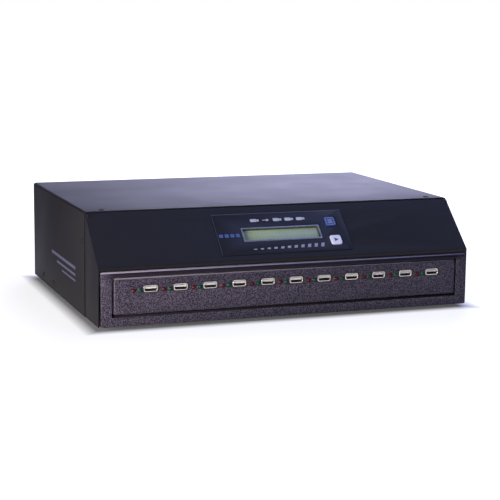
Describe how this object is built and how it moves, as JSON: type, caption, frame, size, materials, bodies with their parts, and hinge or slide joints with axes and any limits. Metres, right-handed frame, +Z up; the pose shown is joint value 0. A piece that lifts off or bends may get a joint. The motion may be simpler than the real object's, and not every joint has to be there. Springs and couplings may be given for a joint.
{
  "type": "usb flash drive duplicator",
  "caption": "Desktop flash drive duplicator: steel case, sloped display panel with two keys, a row of USB sockets with lamps in front, fan and mains inlet behind.",
  "frame": {"origin": "middle of the whole part's base: centred in width and depth, at the underside of the feet", "axes": "+X to the right of someone who faces the front, +Y from the front to the rear, +Z up"},
  "size_m": [0.3924, 0.2972, 0.1083],
  "materials": {
    "black_coat": "fine-textured powder coat, satin",
    "speckled_coat": "speckled powder coat, satin",
    "board": "glass-epoxy circuit board with green resist",
    "overlay_film": "back-printed polyester film, satin",
    "silver_frame": "silver-painted frame",
    "display_glass": "reflective liquid-crystal glass, grey-green",
    "blue_key": "moulded keycap, semi-gloss",
    "white_key": "moulded keycap, semi-gloss",
    "ribbon": "flat grey ribbon cable",
    "zinc_steel": "zinc-plated sheet",
    "bright_steel": "nickel-plated drawn sheet and wire",
    "wire_sheath": "braided wire sheath",
    "black_plastic": "moulded nylon, matt",
    "rubber": "moulded rubber, matt",
    "red_lens": "tinted epoxy lens",
    "green_lens": "tinted epoxy lens"
  },
  "bodies": {
    "case": {"base_pan": "black_coat", "top_cover": "black_coat", "front_hood": "black_coat", "front_plate": "speckled_coat", "port_panel": "speckled_coat", "port_board": "board", "panel_overlay": "overlay_film", "lcd_frame": "silver_frame", "lcd_screen": "display_glass", "lcd_board": "board", "keypad_board": "board", "controller_board": "board", "display_cable": "ribbon", "power_supply": "zinc_steel", "power_harness": "wire_sheath", "fan_frame": "black_plastic", "fan_grille": "bright_steel", "power_inlet": "black_plastic", "switch_housing": "black_plastic", "foot_front_left": "rubber", "foot_front_right": "rubber", "foot_rear_left": "rubber", "foot_rear_right": "rubber", "usb_port_01": "bright_steel", "red_led_01": "red_lens", "green_led_01": "green_lens", "usb_port_02": "bright_steel", "red_led_02": "red_lens", "green_led_02": "green_lens", "usb_port_03": "bright_steel", "red_led_03": "red_lens", "green_led_03": "green_lens", "usb_port_04": "bright_steel", "red_led_04": "red_lens", "green_led_04": "green_lens", "usb_port_05": "bright_steel", "red_led_05": "red_lens", "green_led_05": "green_lens", "usb_port_06": "bright_steel", "red_led_06": "red_lens", "green_led_06": "green_lens", "usb_port_07": "bright_steel", "red_led_07": "red_lens", "green_led_07": "green_lens", "usb_port_08": "bright_steel", "red_led_08": "red_lens", "green_led_08": "green_lens", "usb_port_09": "bright_steel", "red_led_09": "red_lens", "green_led_09": "green_lens", "usb_port_10": "bright_steel", "red_led_10": "red_lens", "green_led_10": "green_lens", "usb_port_11": "bright_steel", "red_led_11": "red_lens", "green_led_11": "green_lens"},
    "set_key": {"set_button": "blue_key"},
    "run_key": {"run_button": "white_key"},
    "rocker": {"switch_rocker": "black_plastic"},
    "rotor": {"fan_rotor": "black_plastic"}
  },
  "joints": [
    {"name": "set_button_press", "type": "slide", "parent": "case", "child": "set_key", "axis": [0, 0.6762, -0.7367], "range_m": [0, 0.001], "stiffness_N_per_m": 1000, "springref_m": -0.0005},
    {"name": "run_button_press", "type": "slide", "parent": "case", "child": "run_key", "axis": [0, 0.6762, -0.7367], "range_m": [0, 0.001], "stiffness_N_per_m": 1000, "springref_m": -0.0005},
    {"name": "power_switch_rock", "type": "hinge", "parent": "case", "child": "rocker", "pos_m": [0.0982, 0.14239, 0.044], "axis": [-1, 0, 0], "range_deg": [0, 22]},
    {"name": "fan_spin", "type": "hinge", "parent": "case", "child": "rotor", "pos_m": [-0.1182, 0.12829, 0.05615], "axis": [0, 1, 0], "continuous": true}
  ]
}
